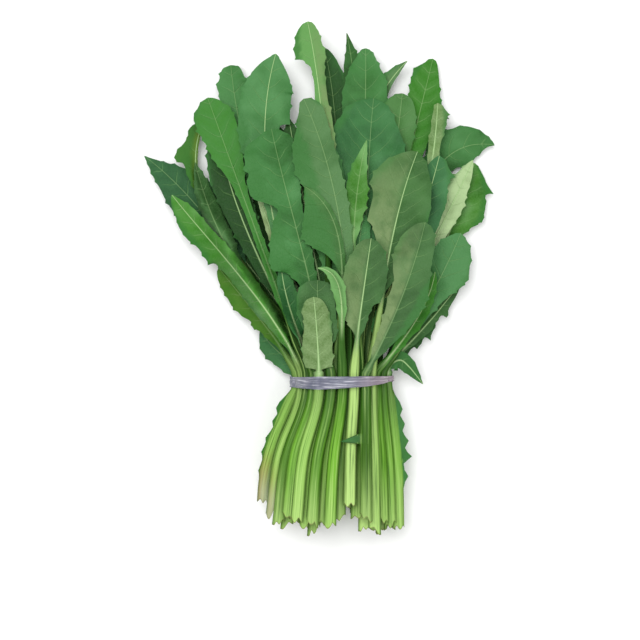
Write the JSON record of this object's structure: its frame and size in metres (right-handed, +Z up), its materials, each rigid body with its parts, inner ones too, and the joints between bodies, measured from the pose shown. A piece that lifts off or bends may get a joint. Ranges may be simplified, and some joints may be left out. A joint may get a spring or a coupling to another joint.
{
  "type": "tied bunch of catalogna chicory",
  "caption": "Tied bunch of long toothed chicory leaves on pale green stalks, lying on its side; a leafy vegetable sold or stored by the bunch.",
  "frame": {"origin": "on the surface that the bunch lies on, under the middle of the tie", "axes": "+Y along the bunch from its cut ends to its leaf tips, +Z up from the surface, +X across the bunch"},
  "size_m": [0.2799, 0.4029, 0.0694],
  "materials": {
    "leaf_green": "satin",
    "leaf_grey": "satin",
    "leaf_bright": "satin",
    "leaf_pale": "satin",
    "leaf_dark": "satin",
    "leaf_blue": "satin",
    "leaf_olive": "satin",
    "tie": "satin"
  },
  "bodies": {
    "root": {"leaf_01": "leaf_dark", "leaf_02": "leaf_green", "leaf_03": "leaf_dark", "leaf_04": "leaf_green", "leaf_05": "leaf_blue", "leaf_06": "leaf_dark", "leaf_07": "leaf_dark", "leaf_08": "leaf_dark", "leaf_09": "leaf_dark", "leaf_10": "leaf_bright", "leaf_11": "leaf_dark", "leaf_12": "leaf_blue", "leaf_13": "leaf_olive", "leaf_14": "leaf_dark", "leaf_15": "leaf_dark", "leaf_16": "leaf_grey", "leaf_17": "leaf_bright", "leaf_18": "leaf_pale", "leaf_19": "leaf_grey", "leaf_20": "leaf_olive", "leaf_21": "leaf_grey", "leaf_22": "leaf_blue", "leaf_23": "leaf_green", "leaf_24": "leaf_dark", "leaf_25": "leaf_green", "leaf_26": "leaf_grey", "leaf_27": "leaf_pale", "leaf_28": "leaf_green", "leaf_29": "leaf_dark", "leaf_30": "leaf_pale", "leaf_31": "leaf_dark", "leaf_32": "leaf_dark", "leaf_33": "leaf_bright", "leaf_34": "leaf_green", "leaf_35": "leaf_blue", "leaf_36": "leaf_blue", "leaf_37": "leaf_green", "leaf_38": "leaf_green", "leaf_39": "leaf_green", "leaf_40": "leaf_bright", "leaf_41": "leaf_blue", "leaf_42": "leaf_bright", "leaf_43": "leaf_dark", "leaf_44": "leaf_blue", "leaf_45": "leaf_bright", "leaf_46": "leaf_grey", "leaf_47": "leaf_green", "leaf_48": "leaf_grey", "leaf_49": "leaf_grey", "leaf_50": "leaf_grey", "leaf_51": "leaf_grey", "leaf_52": "leaf_bright", "leaf_53": "leaf_grey", "leaf_54": "leaf_pale", "tie_strip": "tie"}
  },
  "joints": []
}
